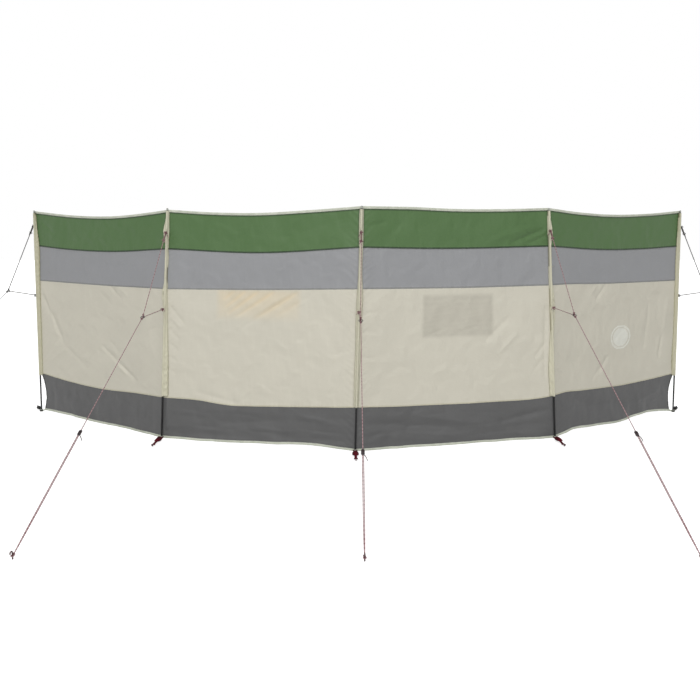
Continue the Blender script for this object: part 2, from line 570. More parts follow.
def stitch_group():
    """Shared effect: two rows of lockstitch at set distances from an edge. A thread shows where
    the distance fits the row and the place along the seam is within the stitch."""
    tree, given, out = group("lockstitch", [("Along", "Float", 0.0), ("Off", "Float", 0.0),
                                            ("First", "Float", 0.002), ("Second", "Float", 0.0075)],
                             [("Thread", "Float")])
    within = calc(tree, "FRACT", calc(tree, "DIVIDE", given["Along"], 0.0032))
    dash = ramp(tree, calc(tree, "ABSOLUTE", calc(tree, "SUBTRACT", within, 0.5)), 0.30, 0.38, 1.0, 0.0)
    rows = [ramp(tree, calc(tree, "ABSOLUTE", calc(tree, "SUBTRACT", given["Off"], given[row])),
                 0.0002, 0.0005, 1.0, 0.0) for row in ("First", "Second")]
    tree.links.new(calc(tree, "MULTIPLY", dash, calc(tree, "MAXIMUM", *rows)), out["Thread"])
    return tree


weave = weave_group()
lockstitch = stitch_group()


def woven(name, colour, doubled, thread, threads=1500.0, roughness=0.5, gloss=0.25, tints=()):
    """Coated polyester taffeta: plain weave with slubs, a slow drift of tone, a darker or
    warmer tone where it is doubled, stitches by its seams, and tints that other pieces
    behind it lend it, each given as a mark's name and a colour."""
    material, tree, shader = finish(name)
    place = add(tree, "UVMap", uv_map="cut").outputs[0]
    pattern = use(tree, weave, {"Place": place, "Threads": threads})
    patches = use(tree, uneven, {"Size": 0.11, "Grain": 0.006})
    base = tuple(np.array(colour) * (0.97, 0.97, 0.97, 1.0))
    light = tuple(np.array(colour) * (1.03, 1.03, 1.03, 1.0))
    tone = calc(tree, "ADD", calc(tree, "MULTIPLY", pattern["Slub"], 0.7),
                calc(tree, "MULTIPLY", patches["Drift"], 0.3))
    shown = blended(tree, ramp(tree, tone, 0.3, 0.7), base, light)
    for mark, tint in (*tints, ("doubled", doubled)):
        shown = blended(tree, kept_mark(tree, mark), shown, tint)
    along = add(tree, "SeparateXYZ", {0: place}).outputs[0]
    rows = [use(tree, lockstitch, {"Along": along, "Off": kept_mark(tree, mark)})["Thread"]
            for mark in ("over_seam", "under_seam")]
    sewn = calc(tree, "MAXIMUM", *rows)
    coloured(tree, shader, blended(tree, sewn, shown, thread),
             ramp(tree, pattern["Slub"], 0.3, 0.7, roughness - 0.05, roughness + 0.07))
    shader.inputs["Specular IOR Level"].default_value = gloss
    height = calc(tree, "ADD", pattern["Height"], calc(tree, "MULTIPLY", sewn, 3.0))
    bumped(tree, shader, calc(tree, "ADD", height, pattern["Slub"]), 0.00006)
    return material


def thicken(piece, thickness):
    """Gives a surface the cloth's thickness, half to each side."""
    solid = piece.modifiers.new("thickness", "SOLIDIFY")
    solid.thickness = thickness
    solid.offset = 0.0
    solid.use_even_offset = True


def free_edge(bay, share, across):
    """1 in the last 8 mm before the free edge at an end of the wall, and 0 elsewhere."""
    length = bay_lengths[bay]
    ends = [across * length] * (bay == 0) + [(1 - across) * length] * (bay == bay_count - 1)
    return sum(np.where(off < 0.008, 1.0, 0.0) for off in ends) + 0 * share


def band(name, bay, low_edge, high_edge, material, lip, shape=None, marks=None):
    """One strip of a bay between two edges. Its columns are even and its rows close up by both
    edges. At the bottom it laps over the next strip by lip, and at the top it is tucked
    behind the last one."""
    columns = round(bay_lengths[bay] / column_step) + 1
    across = np.linspace(0, 1, columns)
    drop = np.mean(edge(high_edge, bay, across) - edge(low_edge, bay, across))
    inner = np.linspace(0, 1, round(drop / row_step))
    up = np.concatenate([np.zeros(len(hem_rows)), inner, np.ones(len(hem_rows))])[:, None]
    margin = hem_rows[-1] + 0.003
    off = np.concatenate([hem_rows, margin * (1 - 2 * inner), -hem_rows[::-1]])[:, None]
    share = np.broadcast_to(across, (len(up), columns)) if shape is None else shape(bay, across[None, :], up)
    low = edge(low_edge, bay, share) - (seam_below if low_edge != "hem" else -tape_cover)
    high = edge(high_edge, bay, share) + (tuck if high_edge != "top" else -tape_cover)
    height = low + up * (high - low) + off
    from_low, from_high = height - low, high - height
    lapped = np.clip(1.3 * (1 - from_low / lap), 0, 1) if low_edge != "hem" else np.zeros_like(height)
    tucked = np.clip(1.5 * (1 - from_high / (tuck + 0.006)), 0, 1) if high_edge != "top" else 0.0
    points = cloth(bay, share, height, 0.0007 * tucked - lip * np.sqrt(lapped))
    x = share * bay_lengths[bay]
    reach = [smooth_line(np.array(sleeve_edges[k])[:, [0, side]], np.clip(height, 0.27, 1.39))
             for k, side in ((bay, 2), (bay + 1, 1))]
    sides = ((x, reach[0], bay == 0), (bay_lengths[bay] - x, reach[1], bay == bay_count - 1))
    creased = sum((0.9 if wall_end else 0.4) * np.exp(-((off_pole - side_reach - 0.003) / 0.004) ** 2)
                  for off_pole, side_reach, wall_end in sides)
    folded = np.where(from_low < lap, 1.0, 0.0) * (low_edge != "hem")
    under_tape = np.where((high_edge == "top") & (from_high < 0.020), 0.85, 0.0)
    by_side = creased if low_edge != "hem" else free_edge(bay, share, across[None, :])
    kept = {"doubled": np.clip(folded + under_tape + by_side, 0, 1),
            "over_seam": from_low if low_edge != "hem" else from_low - 0.010,
            "under_seam": from_high - tuck - 0.002}
    kept.update({mark: shade(x, height) for mark, shade in (marks or {}).items()})
    place = np.stack([x, height], -1)
    piece = make_piece(name, [(points, place, kept)], material)
    thicken(piece, cloth_thickness)
    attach(piece, "root")
    flat_height = float((high - low).max())
    flat_area = bay_lengths[bay] * float((high - low).mean())
    flat = (round(bay_lengths[bay], 3), round(flat_height, 3))
    return piece, flat, min(flat_area, 0.999 * bay_lengths[bay] * flat_height)


green_lip = 0.003
green_cloth = woven("green_taffeta", paint(73, 102, 59), paint(32, 49, 28), paint(68, 96, 58),
                    roughness=0.43, gloss=0.36)
for b in range(bay_count):
    piece, flat, area = band(f"green_strip_{b + 1}", b, "green", "top", green_cloth, green_lip)
    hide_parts(f"green_band_{b + 1}")

# ---------------------------------------------------------------- Light grey bands
# The second strip: the same polyester in light grey, sewn behind the green one
# and lapped over the cream one, with two rows of lockstitch in each seam.
grey_lip = 0.0012
light_grey_cloth = woven("light_grey_taffeta", paint(138, 139, 141), paint(120, 121, 120),
                         paint(150, 151, 152), roughness=0.45, gloss=0.5)
for b in range(bay_count):
    piece, flat, area = band(f"light_grey_strip_{b + 1}", b, "grey", "green", light_grey_cloth, grey_lip)
    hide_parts(f"grey_band_{b + 1}")

# ---------------------------------------------------------------- Cream walls
# The deep middle strip: cream polyester, thin enough to show what is sewn behind
# it. A cloth pocket warms the second bay and a mesh pocket greys the third, and a
# plain round patch is printed on the last bay.
cream_lip = 0.0010
# By bay, the left, right, low and high edge of each pouch, and of where it shows through the wall
pocket_spots = {1: (0.380, 0.886, 0.750, 0.922), 2: (0.409, 0.838, 0.652, 0.895)}
shade_spots = {1: (0.346, 0.867, 0.750, 0.922), 2: (0.411, 0.870, 0.652, 0.895)}
patch_bay = 3
patch_middle = (0.673, 0.573)
patch_half = (0.100, 0.078)
patch_rim = 0.10
patch_gap = 0.12


def box_shade(x, height, spot, soft):
    """1 inside a rectangle of the cloth and 0 outside, with an edge this soft."""
    left, right, low, high = spot
    inside = np.minimum(np.minimum(x - left, right - x), np.minimum(height - low, high - height))
    return np.clip(inside / soft + 0.5, 0, 1)


def warm_shade(x, height):
    """The cloth pocket behind: a warm rectangle, stronger where a fold presses the wall on it, and
    fading to its left and its foot."""
    left, right, low, high = shade_spots[1]
    pressed = np.clip(fold_depth(x, height, bay_folds[1]) / 0.004, -0.5, 1)
    fading = np.clip(0.45 + 0.7 * (height - low) / (high - low), 0, 1)
    fading = fading * np.clip(1.7 - 1.1 * (x - left) / (right - left), 0, 1)
    return box_shade(x, height, shade_spots[1], 0.036) * fading * (0.5 + 0.4 * pressed)


def cool_shade(x, height):
    """The mesh pocket behind: a grey rectangle, a little uneven where the mesh lies loose."""
    left = shade_spots[2][0]
    streaks = 0.14 * rumple(0.1 * x, height, 0.03, 3.0) + 0.16 * rumple(x, height, 0.12, 3.0)
    side = 0.3 * np.exp(-np.maximum(x - left, 0) / 0.03)
    return np.clip(box_shade(x, height, shade_spots[2], 0.022) * (0.8 + streaks + side), 0, 1.2)


def patch_shade(x, height):
    """The printed patch: a pale oval with a plain rim round it. Both are shares of an oval whose
    size is the root of (x / half width) squared plus (height / half height) squared."""
    away = np.hypot((x - patch_middle[0]) / patch_half[0], (height - patch_middle[1]) / patch_half[1])
    disc = np.clip((1 - patch_rim - patch_gap - away) / 0.03 + 0.5, 0, 1)
    rim = np.clip((patch_rim / 2 - np.abs(away - 1 + patch_rim / 2)) / 0.03 + 0.5, 0, 1)
    return np.maximum(0.75 * disc, rim)


cream_paints = (paint(199, 195, 181), paint(184, 179, 158), paint(214, 212, 200))
cream_cloth = woven("cream_taffeta", *cream_paints)
cream_tints = {1: ("warmed", warm_shade, paint(212, 196, 166)),
               2: ("greyed", cool_shade, paint(181, 177, 164)),
               patch_bay: ("printed", patch_shade, paint(222, 223, 214))}
for b in range(bay_count):
    material, marks = cream_cloth, None
    if b in cream_tints:
        mark, shade, tint = cream_tints[b]
        marks = {mark: shade}
        material = woven(f"cream_taffeta_{mark}", *cream_paints, tints=[(mark, tint)])
    piece, flat, area = band(f"cream_strip_{b + 1}", b, "skirt", "grey", material, cream_lip, marks=marks)
    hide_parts(f"cream_wall_{b + 1}")

# ---------------------------------------------------------------- Skirts
# The bottom strip: heavier dark grey polyester that keeps wind and sand out. It
# hangs from the cream strip behind the bare poles, and its outer corners are cut
# away in a curve beside the end poles.
corner_gap = 0.028
corner_curve = 0.033


def skirt_shape(bay, across, up):
    """Share of the bay at each column and row: at an end pole the edge stands off by
    corner_gap (1 - up) plus corner_curve 4 up (1 - up)."""
    off = (corner_gap * (1 - up) + corner_curve * hump(up)) / bay_lengths[bay]
    left = off if bay == 0 else 0 * off
    right = 1 - off if bay == bay_count - 1 else 1 + 0 * off
    return left + (right - left) * across


dark_grey_cloth = woven("dark_grey_oxford", paint(87, 87, 87), paint(48, 49, 46), paint(70, 70, 72),
                        threads=900.0, roughness=0.45, gloss=0.3)
for b in range(bay_count):
    piece, flat, area = band(f"dark_grey_skirt_{b + 1}", b, "hem", "skirt", dark_grey_cloth, 0.0,
                             shape=skirt_shape)
    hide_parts(f"skirt_{b + 1}")

# ---------------------------------------------------------------- Binding tapes
# Pale woven tape, folded over the cloth's top edge and over its hem and sewn
# through. Each tape is one length through all four bays, and the hem tape's ends
# run on as tails to the end poles' foot cups.
tape_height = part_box("top_tape")[1].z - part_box("green_band_1")[1].z
tape_step = 0.012
tape_thickness = 0.0008
tape_fold = np.array([(-0.0019, 1.0), (-0.0021, 0.75), (-0.0021, 0.4), (-0.0018, 0.12), (-0.0010, 0.02),
                      (0.0, 0.0), (0.0010, 0.02), (0.0018, 0.12), (0.0021, 0.4), (0.0021, 0.75),
                      (0.0019, 1.0)])


def webbing(name, colour, dark, rib=0.0016):
    """Woven tape: ribs across its width, a soft twill within them, a drift of tone and a
    little dirt in the low places."""
    material, tree, shader = finish(name)
    place = add(tree, "UVMap", uv_map="cut").outputs[0]
    pattern = use(tree, weave, {"Place": place, "Threads": 1100.0})
    patches = use(tree, uneven, {"Size": 0.04, "Grain": 0.002})
    along = add(tree, "SeparateXYZ", {0: place}).outputs[0]
    ribs = ramp(tree, calc(tree, "SINE", calc(tree, "MULTIPLY", along, 2 * math.pi / rib)), -1.0, 1.0)
    tone = calc(tree, "ADD", calc(tree, "MULTIPLY", patches["Drift"], 0.8), calc(tree, "MULTIPLY", ribs, 0.2))
    coloured(tree, shader, blended(tree, ramp(tree, tone, 0.3, 0.7), dark, colour),
             ramp(tree, patches["Fine"], 0.3, 0.7, 0.64, 0.78))
    shader.inputs["Specular IOR Level"].default_value = 0.15
    bumped(tree, shader, calc(tree, "ADD", ribs, pattern["Height"]), 0.00018)
    return material


def run_length(path):
    """Distance along a path to each of its points: the running sum of its steps."""
    steps = np.linalg.norm(np.diff(path, axis=0), axis=1)
    return np.concatenate([[0.0], np.cumsum(steps)])


def flat_places(across, along):
    """The place of every point on the flat cloth, from its two measures."""
    return np.stack(np.broadcast_arrays(across, along), -1)


def tape(name, edge_name, up, node, shape=None):
    """Tape folded over one edge: at every column its U profile stands off the cloth by the first
    value, and reaches over the edge's line by the second times the tape's height."""
    rows = []
    for b in range(bay_count):
        across = np.linspace(0, 1, round(bay_lengths[b] / tape_step) + 1)[1 if b else 0:]
        share = across if shape is None else shape(b, across, 0.0)
        line = edge(edge_name, b, share)
        rows.append(np.stack([cloth(b, share, line + up * reach * tape_height, off)
                              for off, reach in tape_fold]))
    points = np.concatenate(rows, axis=1)
    points[..., 2] = np.maximum(points[..., 2], 0.0005)
    along = run_length(points[len(tape_fold) // 2])
    around = np.concatenate([[0], np.cumsum(np.hypot(*np.diff(tape_fold * [1, tape_height], axis=0).T))])
    piece = make_piece(name, [(points, flat_places(along[None, :], around[:, None]), None)], binding)
    thicken(piece, tape_thickness)
    fit(piece, node)
    return piece


binding = webbing("pale_binding_tape", paint(204, 207, 193), paint(184, 188, 172))
tape("top_binding", "top", -1.0, "top_tape")
tape("hem_binding", "hem", 1.0, "hem_tape", skirt_shape)

# The hem tape's tails, from the skirt's outer corners to the foot cups
tail_width, tail_thickness, tail_sag = 0.012, 0.0014, 0.003
for k, bay, corner in ((0, 0, corner_gap / bay_lengths[0]),
                       (pole_count - 1, bay_count - 1, 1 - corner_gap / bay_lengths[bay_count - 1])):
    start = cloth(bay, corner, edge("hem", bay, np.array(corner)) + 0.006)
    end = feet[k] + unit((start - feet[k]) * [1, 1, 0]) * (cup_radius + 0.0008) + [0, 0, 0.011]
    share = np.linspace(0, 1, 12)[None, :]
    middle = start + (end - start) * share[..., None] - np.array([0, 0, tail_sag]) * hump(share)[..., None]
    width = np.linspace(-0.5, 0.5, 5)[:, None] * tail_width * (1 - 0.35 * share)
    points = middle + width[..., None] * np.array([0.0, 0.0, 1.0])
    place = flat_places(share * np.linalg.norm(end - start), width)
    tail = make_piece(f"hem_tail_{k + 1}", [(points, place, None)], binding)
    thicken(tail, tail_thickness)
    fit(tail, "hem_tape")

# ---------------------------------------------------------------- Pole sleeves
# A cream strip of the wall's own polyester, sewn down both sides to the windward
# face, makes the channel for each pole. It is loose, so it leans to one side or
# the other, and the guy line pulls it out to a point where it is tied.
sleeve_radius = 0.013
sleeve_rows = 220
sleeve_around = np.concatenate([np.linspace(-1, 1, 21), np.linspace(0.8, -0.8, 9)])
sleeve_back = np.concatenate([np.zeros(21, bool), np.ones(9, bool)])
sleeve_off = 0.0012
sleeve_thickness = 0.0006
channel_radius = 0.0068
# How thickly each sleeve's middle and edges show their doubled cloth, and how blotchy it is
worn_tones = ((0.40, 0.6), (0.05, 0.3), (0.0, 0.08), (0.05, 0.3), (0.40, 0.6))
blotchiness = (0.28, 0.28, 0.08, 0.28, 0.28)


def near_pole(node, k):
    """Points of a CAD node that lie nearer to pole k's foot, on the ground, than to any other."""
    spots = corners(node)
    away = np.linalg.norm(spots[:, None, :2] - np.array(feet)[None, :, :2], axis=2)
    return spots[away.argmin(1) == k]


def middle_of(spots):
    """Middle of the box round some points."""
    return (spots.min(0) + spots.max(0)) / 2


def tie_points(k):
    """Middles of the two knots that tie guy line k to its sleeve, the lower one first."""
    spots = near_pole(f"guy_line_{k + 1}", k)
    axis = pole_axis(k, spots[:, 2])
    spots = spots[np.linalg.norm((spots - axis)[:, :2], axis=1) < sleeve_radius + 0.0096]
    low = spots[:, 2] < spots[:, 2].mean()
    return [middle_of(spots[low]), middle_of(spots[~low])]


ties = [tie_points(k) for k in range(pole_count)]
sleeve_cloth = woven("doubled_cream_taffeta", paint(199, 196, 175), paint(160, 156, 128),
                     paint(204, 202, 186))
for k in range(pole_count):
    bay = min(k, bay_count - 1)
    height = np.linspace(edge_heights["skirt"] - 0.002, edge_heights["top"] - 0.0135, sleeve_rows)[:, None]
    reach = np.array(sleeve_edges[k])
    left, right = (smooth_line(reach[:, [0, side]], height) for side in (1, 2))
    width = np.where(sleeve_around < 0, left, right)
    sideways = sleeve_around * np.maximum(width, channel_radius + 0.0004)
    loose = np.clip((np.maximum(width, channel_radius) - 0.012) / 0.02, 0, 1)
    ripple = height * 2 * np.pi / 0.043 + 2 * np.sin(height * 11 + k) + 3 * sleeve_around
    wobble = 0.0022 * loose * np.sin(ripple)
    left_bay, right_bay = max(k - 1, 0), min(k, bay_count - 1)
    left_share = sideways / bay_lengths[left_bay] + (1.0 if k > 0 else 0.0)
    right_share = sideways / bay_lengths[right_bay] + (1.0 if k > right_bay else 0.0)
    on_left = cloth(left_bay, left_share, height)
    on_right = cloth(right_bay, right_share, height)
    base = np.where((sideways < 0)[..., None], on_left, on_right)
    behind = behind_pole(height)
    tent = (behind + channel_radius) * (1 - np.abs(sleeve_around)) ** 1.6
    tent = tent + 0.007 * loose * np.exp(-((np.abs(sleeve_around) - 0.78) / 0.13) ** 2)
    round_pole = behind + np.sqrt(np.maximum(channel_radius ** 2 - sideways ** 2, 0))
    stand = np.where(np.abs(sideways) < channel_radius, np.maximum(tent, round_pole), tent)
    stand = stand + wobble * np.sin(np.pi * np.abs(sleeve_around)) ** 2
    stand = np.where(sleeve_back, 0.0, stand) + sleeve_off
    points = base - mitres[k] * stand[..., None]
    for knot in ties[k]:
        axis = pole_axis(k, height)
        out = unit((knot - pole_axis(k, knot[2:])[0]) * [1, 1, 0])
        off = points - axis
        facing = np.clip((off[..., :2] @ out[:2]) / np.linalg.norm(off[..., :2], axis=-1), 0, 1) ** 6
        pull = np.exp(-(np.abs(height - knot[2]) / 0.022) ** 1.3) * facing * ~sleeve_back
        points = points + out * (pull * (sleeve_radius - channel_radius))[..., None]
    ring = np.linalg.norm(np.diff(np.concatenate([points, points[:, :1]], 1), axis=1), axis=2)
    girth = float(ring.sum(1).mean())
    place = flat_places(np.arange(points.shape[1])[None, :] * girth / points.shape[1], height)
    edges_near = np.abs(sideways) > 0.8 * np.maximum(width, channel_radius)
    blotches = blotchiness[k] * loose * np.clip(rumple(3 * sideways, height, 0.09, k + 1.0), 0, 1)
    doubled = np.clip(worn_tones[k][0] + edges_near * worn_tones[k][1] + blotches, 0, 1)
    patch = (points, place, {"doubled": doubled, "over_seam": 0.05, "under_seam": 0.05})
    sleeve = make_piece(f"pole_channel_{k + 1}", [patch], sleeve_cloth, closed=True)
    thicken(sleeve, sleeve_thickness)
    fit(sleeve, f"sleeve_{k + 1}")

# ---------------------------------------------------------------- Pockets
# Two patch pockets on the sheltered face: one of the wall's cream polyester and
# one of grey mesh. Elastic gathers their mouths, so they stand open a little.
pocket_columns = 96
pocket_rows = 40
pocket_stand = {1: (0.018, 0.030), 2: (0.018, 0.030)}


def pocket(name, node, bay, material):
    """A pouch of one sheet. Its height over the wall is base (1 - v) plus mouth v, times
    a rounded rise from both sides and from the bottom, with gathers at the mouth."""
    left, right, low, high = pocket_spots[bay]
    across = np.linspace(0, 1, pocket_columns)[None, :]
    up = np.linspace(0, 1, pocket_rows)[:, None]
    x = left + (right - left) * across
    height = low + (high - 0.004 - low) * up
    base, mouth = pocket_stand[bay]
    side_rise = np.clip(hump(across), 0, 1) ** 0.35
    foot_rise = np.clip(1 - (1 - np.clip(up / 0.35, 0, 1)) ** 2, 0, 1) ** 0.5
    gathers = 0.0028 * up ** 3 * np.sin(across * 2 * np.pi * 13 + 1.5 * np.sin(across * 17)) * side_rise
    slack = 0.0022 * rumple(x, height, 0.11, bay + 4.0) * side_rise * foot_rise
    stand = 0.0022 + (base * (1 - up) + mouth * up) * side_rise * foot_rise * (1 - 0.35 * up ** 6)
    points = cloth(bay, x / bay_lengths[bay], height, np.maximum(stand + gathers + slack, 0.0022))
    kept = {"doubled": np.where(up > 0.93, 1.0, 0.0) + 0 * across,
            "over_seam": (height - low) + 0 * across, "under_seam": (high - height) + 0 * across}
    piece = make_piece(name, [(points, flat_places(x, height), kept)], material)
    thicken(piece, cloth_thickness)
    fit(piece, node)


def mesh_cloth():
    """Knitted grey mesh: a diamond net of yarn, clear between the yarns."""
    material, tree, shader = finish("grey_knitted_mesh")
    place = add(tree, "UVMap", uv_map="cut").outputs[0]
    split = add(tree, "SeparateXYZ", {0: place}).outputs
    doubled = kept_mark(tree, "doubled")
    waves = []
    for sign in ("ADD", "SUBTRACT"):
        turned = calc(tree, sign, split[0], split[1])
        wave = calc(tree, "SINE", calc(tree, "MULTIPLY", turned, math.pi / 0.0034))
        waves.append(calc(tree, "ABSOLUTE", wave))
    yarn = ramp(tree, calc(tree, "MINIMUM", *waves), 0.42, 0.55, 1.0, 0.0)
    tone = use(tree, uneven, {"Size": 0.03, "Grain": 0.001})
    coloured(tree, shader, blended(tree, tone["Drift"], paint(120, 119, 114), paint(150, 149, 143)),
             ramp(tree, tone["Fine"], 0.3, 0.7, 0.7, 0.85))
    tree.links.new(calc(tree, "MAXIMUM", yarn, ramp(tree, doubled, 0.4, 0.6)), shader.inputs["Alpha"])
    bumped(tree, shader, yarn, 0.0003)
    return material


pocket_cloth = woven("pocket_taffeta", paint(212, 204, 178), paint(200, 190, 158), paint(220, 214, 196))
pocket("cloth_pouch", "cloth_pocket", 1, pocket_cloth)
pocket("mesh_pouch", "mesh_pocket", 2, mesh_cloth())

# ---------------------------------------------------------------- Guy lines
# Braided polyester cord, red fleck at the three windward poles and grey at the
# ends. Two legs tied to the sleeve meet at a ring. One taut line runs from the
# ring through a slider, round the peg and back to the slider, so it is doubled.
windward = range(1, pole_count - 1)
rope_radius = 0.002
end_line_wider = 1.35
knot_gap = 0.0045
# The lower knots of the second and fourth lines are tied this far off their sleeves
knot_off = {1: 0.028, 3: 0.028}
tail_length, loop_tail_length = 0.024, 0.016
loop_bow = 0.0050
rope_facets = 10
rope_step = 0.012
eye_height = 0.015
ring_centres = [middle_of(near_pole("guy_rings", k)) for k in range(pole_count)]
ring_wire = 0.002
ring_radius = float(np.ptp(near_pole("guy_rings", 2)[:, 2])) / 2 - ring_wire
wire_radius = 0.003
eye_radius = 0.0065
strand_apart = 0.0027
loop_length = 0.058
slider_half = np.array([0.0045, 0.0080, 0.0200])


def peg_place(node, k):
    """Foot of a peg near pole k and the way its hook points. The hook lies in line with the
    pole, so the peg stands one wire radius past the node's near side."""
    spots = near_pole(node, k)
    out = unit((middle_of(spots) - feet[k]) * [1, 1, 0])
    near = ((spots - feet[k]) @ out).min() + wire_radius
    return feet[k] * [1, 1, 0] + out * near, out


def braided(name, pale, dark, share):
    """Braided cord: two sets of yarns that cross at a slant along the cord, some of them
    darker, over a core that shows as fine relief."""
    material, tree, shader = finish(name)
    place = add(tree, "UVMap", uv_map="cut").outputs[0]
    split = add(tree, "SeparateXYZ", {0: place}).outputs
    yarns, flecks = [], []
    for sign in ("ADD", "SUBTRACT"):
        turned = calc(tree, sign, calc(tree, "MULTIPLY", split[0], 2 * math.pi / 0.0031),
                      calc(tree, "MULTIPLY", split[1], 2 * math.pi / 0.0052))
        yarns.append(calc(tree, "SINE", turned))
        flecks.append(calc(tree, "SINE", calc(tree, "MULTIPLY", turned, 0.25)))
    height = ramp(tree, calc(tree, "MULTIPLY", *yarns), -1.0, 1.0)
    fleck = calc(tree, "MAXIMUM", ramp(tree, calc(tree, "MAXIMUM", *flecks), share, share + 0.2),
                 kept_mark(tree, "knotted"))
    wear = use(tree, uneven, {"Size": 0.05, "Grain": 0.002})
    shown = blended(tree, fleck, pale, dark)
    dusty = tuple(np.array(pale) * (0.85, 0.85, 0.85, 1.0))
    worn = blended(tree, ramp(tree, wear["Drift"], 0.45, 0.7), shown, blended(tree, 0.5, shown, dusty))
    coloured(tree, shader, worn, ramp(tree, height, 0.0, 1.0, 0.75, 0.6))
    bumped(tree, shader, height, 0.0003)
    return material


def cord_patch(path, radius=rope_radius, facets=rope_facets, side=(0.9, 0.3, 0.2), knotted=0.0):
    """One cord along a path: its tube of points, and how far round and along each one lies."""
    around = np.arange(facets) * 2 * np.pi * rope_radius / facets
    place = flat_places(around[None, :], run_length(path)[:, None])
    return tube(path, radius, facets, side), place, {"knotted": knotted}


def straight(start, end, step=rope_step):
    """Evenly spaced points from start to end."""
    share = np.linspace(0, 1, max(3, round(np.linalg.norm(end - start) / step)))[:, None]
    return start + (end - start) * share


def overhand(middle, ahead, size, turn=0.0):
    """An overhand knot: the trefoil x = sin t + 2 sin 2t, y = cos t - 2 cos 2t, z = - sin 3t,
    laid across the cord's direction."""
    t = np.linspace(0, 2 * np.pi, 60)
    frame_x = unit(np.cross(ahead, [math.cos(turn), math.sin(turn), 0.3]))
    frame_y = np.cross(ahead, frame_x)
    flat = np.stack([np.sin(t) + 2 * np.sin(2 * t), np.cos(t) - 2 * np.cos(2 * t), -1.4 * np.sin(3 * t)], -1)
    path = middle + size / 6 * (flat @ np.stack([frame_x, frame_y, ahead]))
    return cord_patch(path, rope_radius * 0.95, 8, knotted=0.85)


def loose_tail(start, ahead, length, out):
    """A knot's free end: it leaves along a direction and droops as the square of its length."""
    share = np.linspace(0, 1, 9)[:, None]
    path = start + length * (share * (0.5 * ahead + 0.6 * out) + share ** 2 * np.array([0, 0, -0.7]))
    return cord_patch(path, rope_radius * np.linspace(0.95, 0.8, 9), 8)


def hitch(centre, ahead, flat_normal):
    """A loop of cord round the ring's wire, where a leg or the main line is tied on. It is an
    ellipse about the wire, longer along the cord than across it."""
    t = np.linspace(0, 2 * np.pi, 33)[:, None]
    wire = centre + ahead * ring_radius
    through = unit(np.cross(ahead, flat_normal))
    path = wire + ahead * (0.0050 * np.cos(t) + 0.001) + through * 0.0042 * np.sin(t)
    return cord_patch(path, rope_radius * 0.95, 8, side=flat_normal + 0.01, knotted=0.85)


red_cord = braided("red_fleck_cord", paint(166, 136, 138), paint(92, 38, 50), 0.78)
grey_cord = braided("grey_cord", paint(74, 72, 70), paint(26, 24, 24), 0.85)
knot_size = 0.019
ring_knot = 0.010
main_lines = []
for k in range(pole_count):
    ring = ring_centres[k]
    out = unit((ring - feet[k]) * [1, 1, 0])
    flat_normal = np.cross(out, [0, 0, 1.0])
    peg, _ = peg_place("guy_pegs", k)
    eye = peg + [0, 0, eye_height]
    end = eye - out * eye_radius
    patches = []
    line_radius = rope_radius * (1.0 if k in windward else end_line_wider)
    tail_side = -flat_normal if k < 2 else flat_normal
    for tie, rise in zip(ties[k], (0.35, -1.0)):
        ahead = unit(tie - ring)
        at_ring = ring + ahead * (ring_radius + ring_wire + knot_gap)
        knot = tie - ahead * (knot_off.get(k, 0.0) if rise > 0 else 0.0)
        patches += [cord_patch(straight(tie, at_ring), line_radius),
                    overhand(knot, ahead, knot_size, k),
                    overhand(at_ring, ahead, ring_knot, k + 1.0), hitch(ring, ahead, flat_normal),
                    loose_tail(knot, np.array([0, 0, rise]), tail_length, tail_side)]
    # The upper leg starts as a loop of cord through the sleeve, closed with a second knot
    upper = ties[k][1]
    down = unit(ring - upper)
    loop_end = upper + down * loop_length
    bow = np.cross(down, flat_normal) * loop_bow
    for sign in (-1, 1):
        run = straight(upper, loop_end, 0.006)
        patches.append(cord_patch(run + sign * bow * np.sqrt(hump(np.linspace(0, 1, len(run))[:, None])),
                                  rope_radius * 1.25, knotted=0.9))
    patches += [overhand(loop_end, down, knot_size, k + 2.5),
                loose_tail(loop_end, down, loop_tail_length, tail_side)]
    # The main line, and its second strand from the slider back to the eye round the peg
    ahead = unit(end - ring)
    start = ring + ahead * (ring_radius + ring_wire + knot_gap)
    main_lines.append((start, end))
    slider_middle = middle_of(near_pole("line_sliders", k))
    slider_foot = start + ahead * ((slider_middle - start) @ ahead + slider_half[2] * 0.6)
    sideways = unit(np.cross(ahead, [0, 0, 1.0])) * strand_apart
    turn = np.linspace(0, 2 * np.pi, 25)[:, None]
    around_peg = eye + eye_radius * (-out * np.cos(turn) + flat_normal * np.sin(turn))
    patches += [cord_patch(straight(start, slider_foot)), overhand(start, ahead, ring_knot, k + 2.0),
                hitch(ring, ahead, flat_normal), cord_patch(around_peg, side=(0, 0, 1.0)),
                overhand(end - ahead * 0.006, ahead, ring_knot, k)]
    for sign in (-1, 1):
        run = straight(slider_foot, end)
        apart = 1 - np.linspace(0, 1, len(run))[:, None] ** 8
        patches.append(cord_patch(run + sign * sideways * apart))
    cord, slot_name = (red_cord, "red_rope") if k in windward else (grey_cord, "grey_rope")
    line = make_piece(f"braided_guy_line_{k + 1}", patches, cord, True, True)
    fit(line, f"guy_line_{k + 1}")

# ---------------------------------------------------------------- Guy rings
# Welded rings of plated steel wire. Each lies across its own guy line, held at the
# top by the two legs and at the bottom by the main line.


def plated_steel(name, bright, dull):
    """Plated steel wire: bright, with duller cloudy patches and fine drawing marks."""
    material, tree, shader = finish(name)
    marks = use(tree, uneven, {"Size": 0.008, "Grain": 0.0005})
    coloured(tree, shader, blended(tree, ramp(tree, marks["Drift"], 0.4, 0.65), bright, dull),
             ramp(tree, marks["Drift"], 0.3, 0.7, 0.22, 0.5))
    shader.inputs["Metallic"].default_value = 1.0
    bumped(tree, shader, marks["Fine"], 0.00005)
    return material


